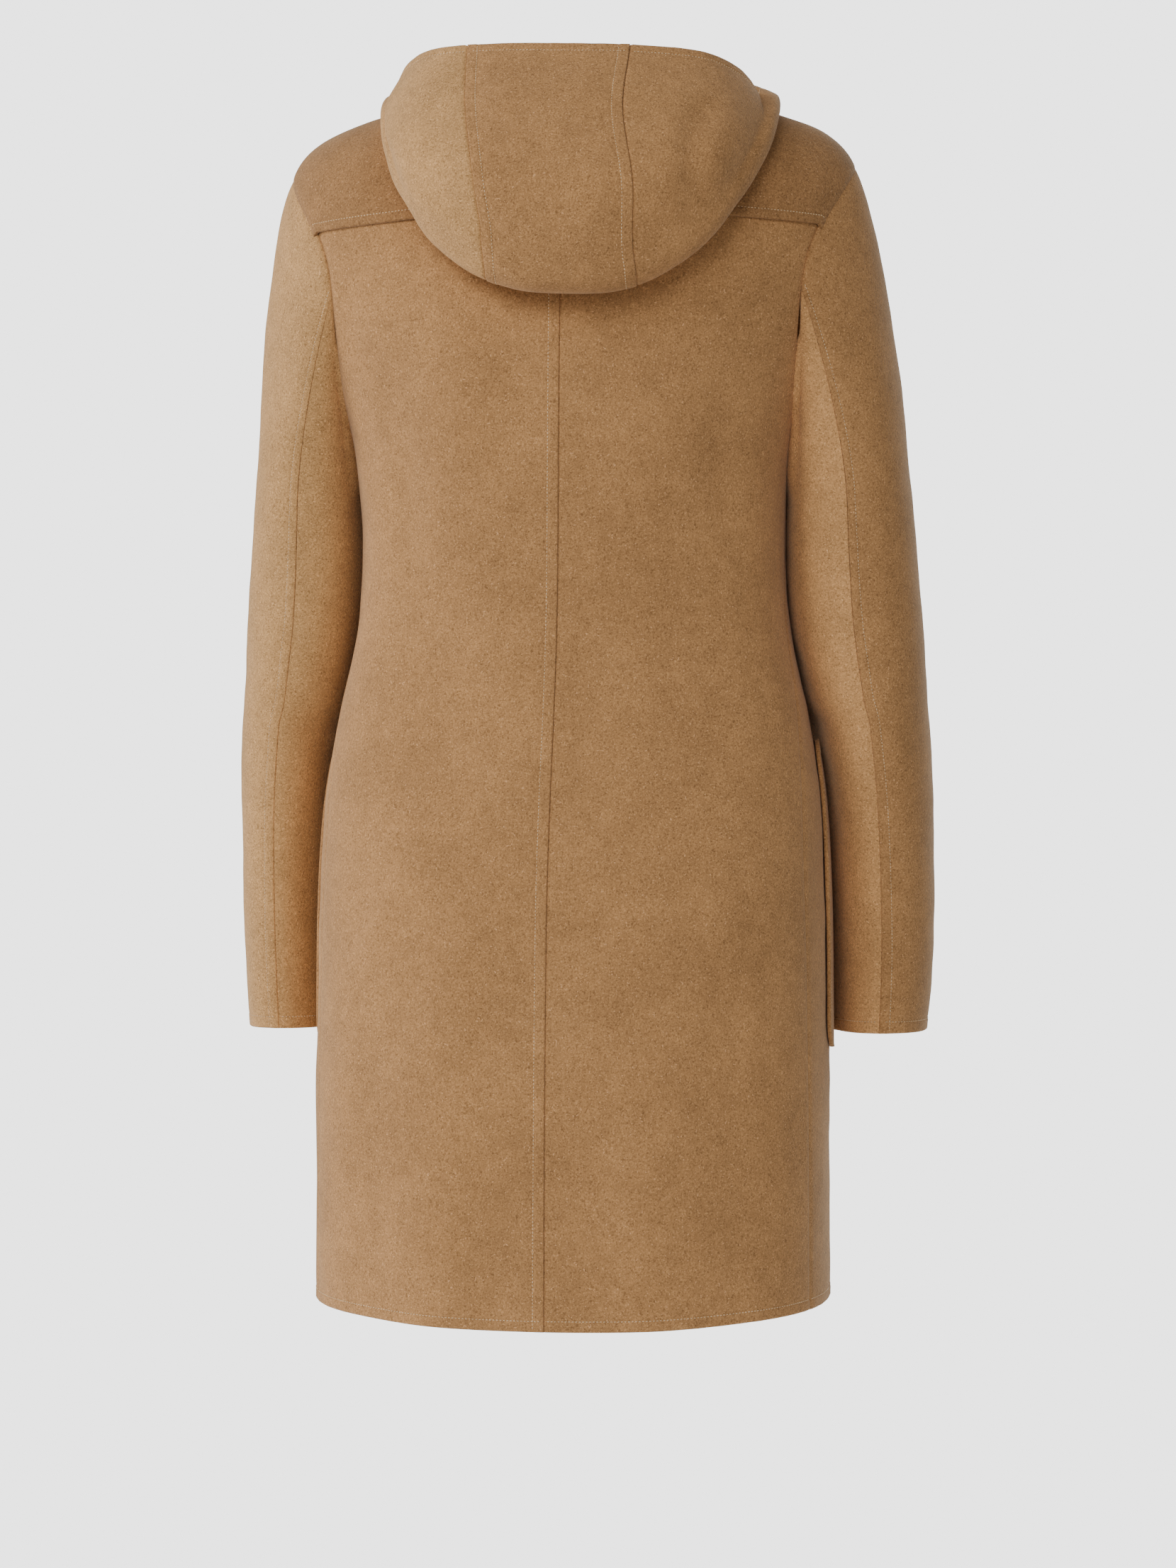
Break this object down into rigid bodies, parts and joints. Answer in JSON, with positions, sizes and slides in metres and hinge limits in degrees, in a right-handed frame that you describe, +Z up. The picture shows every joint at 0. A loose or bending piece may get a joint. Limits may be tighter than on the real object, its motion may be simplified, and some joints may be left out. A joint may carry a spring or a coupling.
{
  "type": "duffle coat",
  "caption": "Long wool duffle coat in its worn shape, hollow: hood down on the back, back yoke, two-piece sleeves, patch pockets, and toggles closing the front.",
  "frame": {"origin": "on the body's upright axis, in the neck opening at the height of the nape, where the hood is sewn to the back of the neckline and the coat hangs from the wearer's shoulders", "axes": "+Z up; the wearer faces -Y, so the back is towards +Y; +X is the wearer's left"},
  "size_m": [0.5275, 0.3266, 0.9222],
  "materials": {
    "camel_wool": "felted wool with a short nap, matt",
    "brown_leather": "smooth, semi-matt",
    "toggle_wood": "oiled"
  },
  "bodies": {
    "root": {"back_left": "camel_wool", "back_right": "camel_wool", "back_yoke": "camel_wool", "front_left": "camel_wool", "front_right": "camel_wool", "pocket_left": "camel_wool", "pocket_right": "camel_wool", "sleeve_upper_left": "camel_wool", "sleeve_under_left": "camel_wool", "sleeve_upper_right": "camel_wool", "sleeve_under_right": "camel_wool", "hood_centre": "camel_wool", "hood_left": "camel_wool", "hood_right": "camel_wool", "patch_toggle_1": "brown_leather", "patch_toggle_2": "brown_leather", "patch_toggle_3": "brown_leather", "patch_toggle_4": "brown_leather", "patch_loop_1": "brown_leather", "patch_loop_2": "brown_leather", "patch_loop_3": "brown_leather", "patch_loop_4": "brown_leather", "loop_1": "brown_leather", "loop_2": "brown_leather", "loop_3": "brown_leather", "loop_4": "brown_leather", "toggle_cord_1": "brown_leather", "toggle_cord_2": "brown_leather", "toggle_cord_3": "brown_leather", "toggle_cord_4": "brown_leather", "toggle_1": "toggle_wood", "toggle_2": "toggle_wood", "toggle_3": "toggle_wood", "toggle_4": "toggle_wood"}
  },
  "joints": []
}
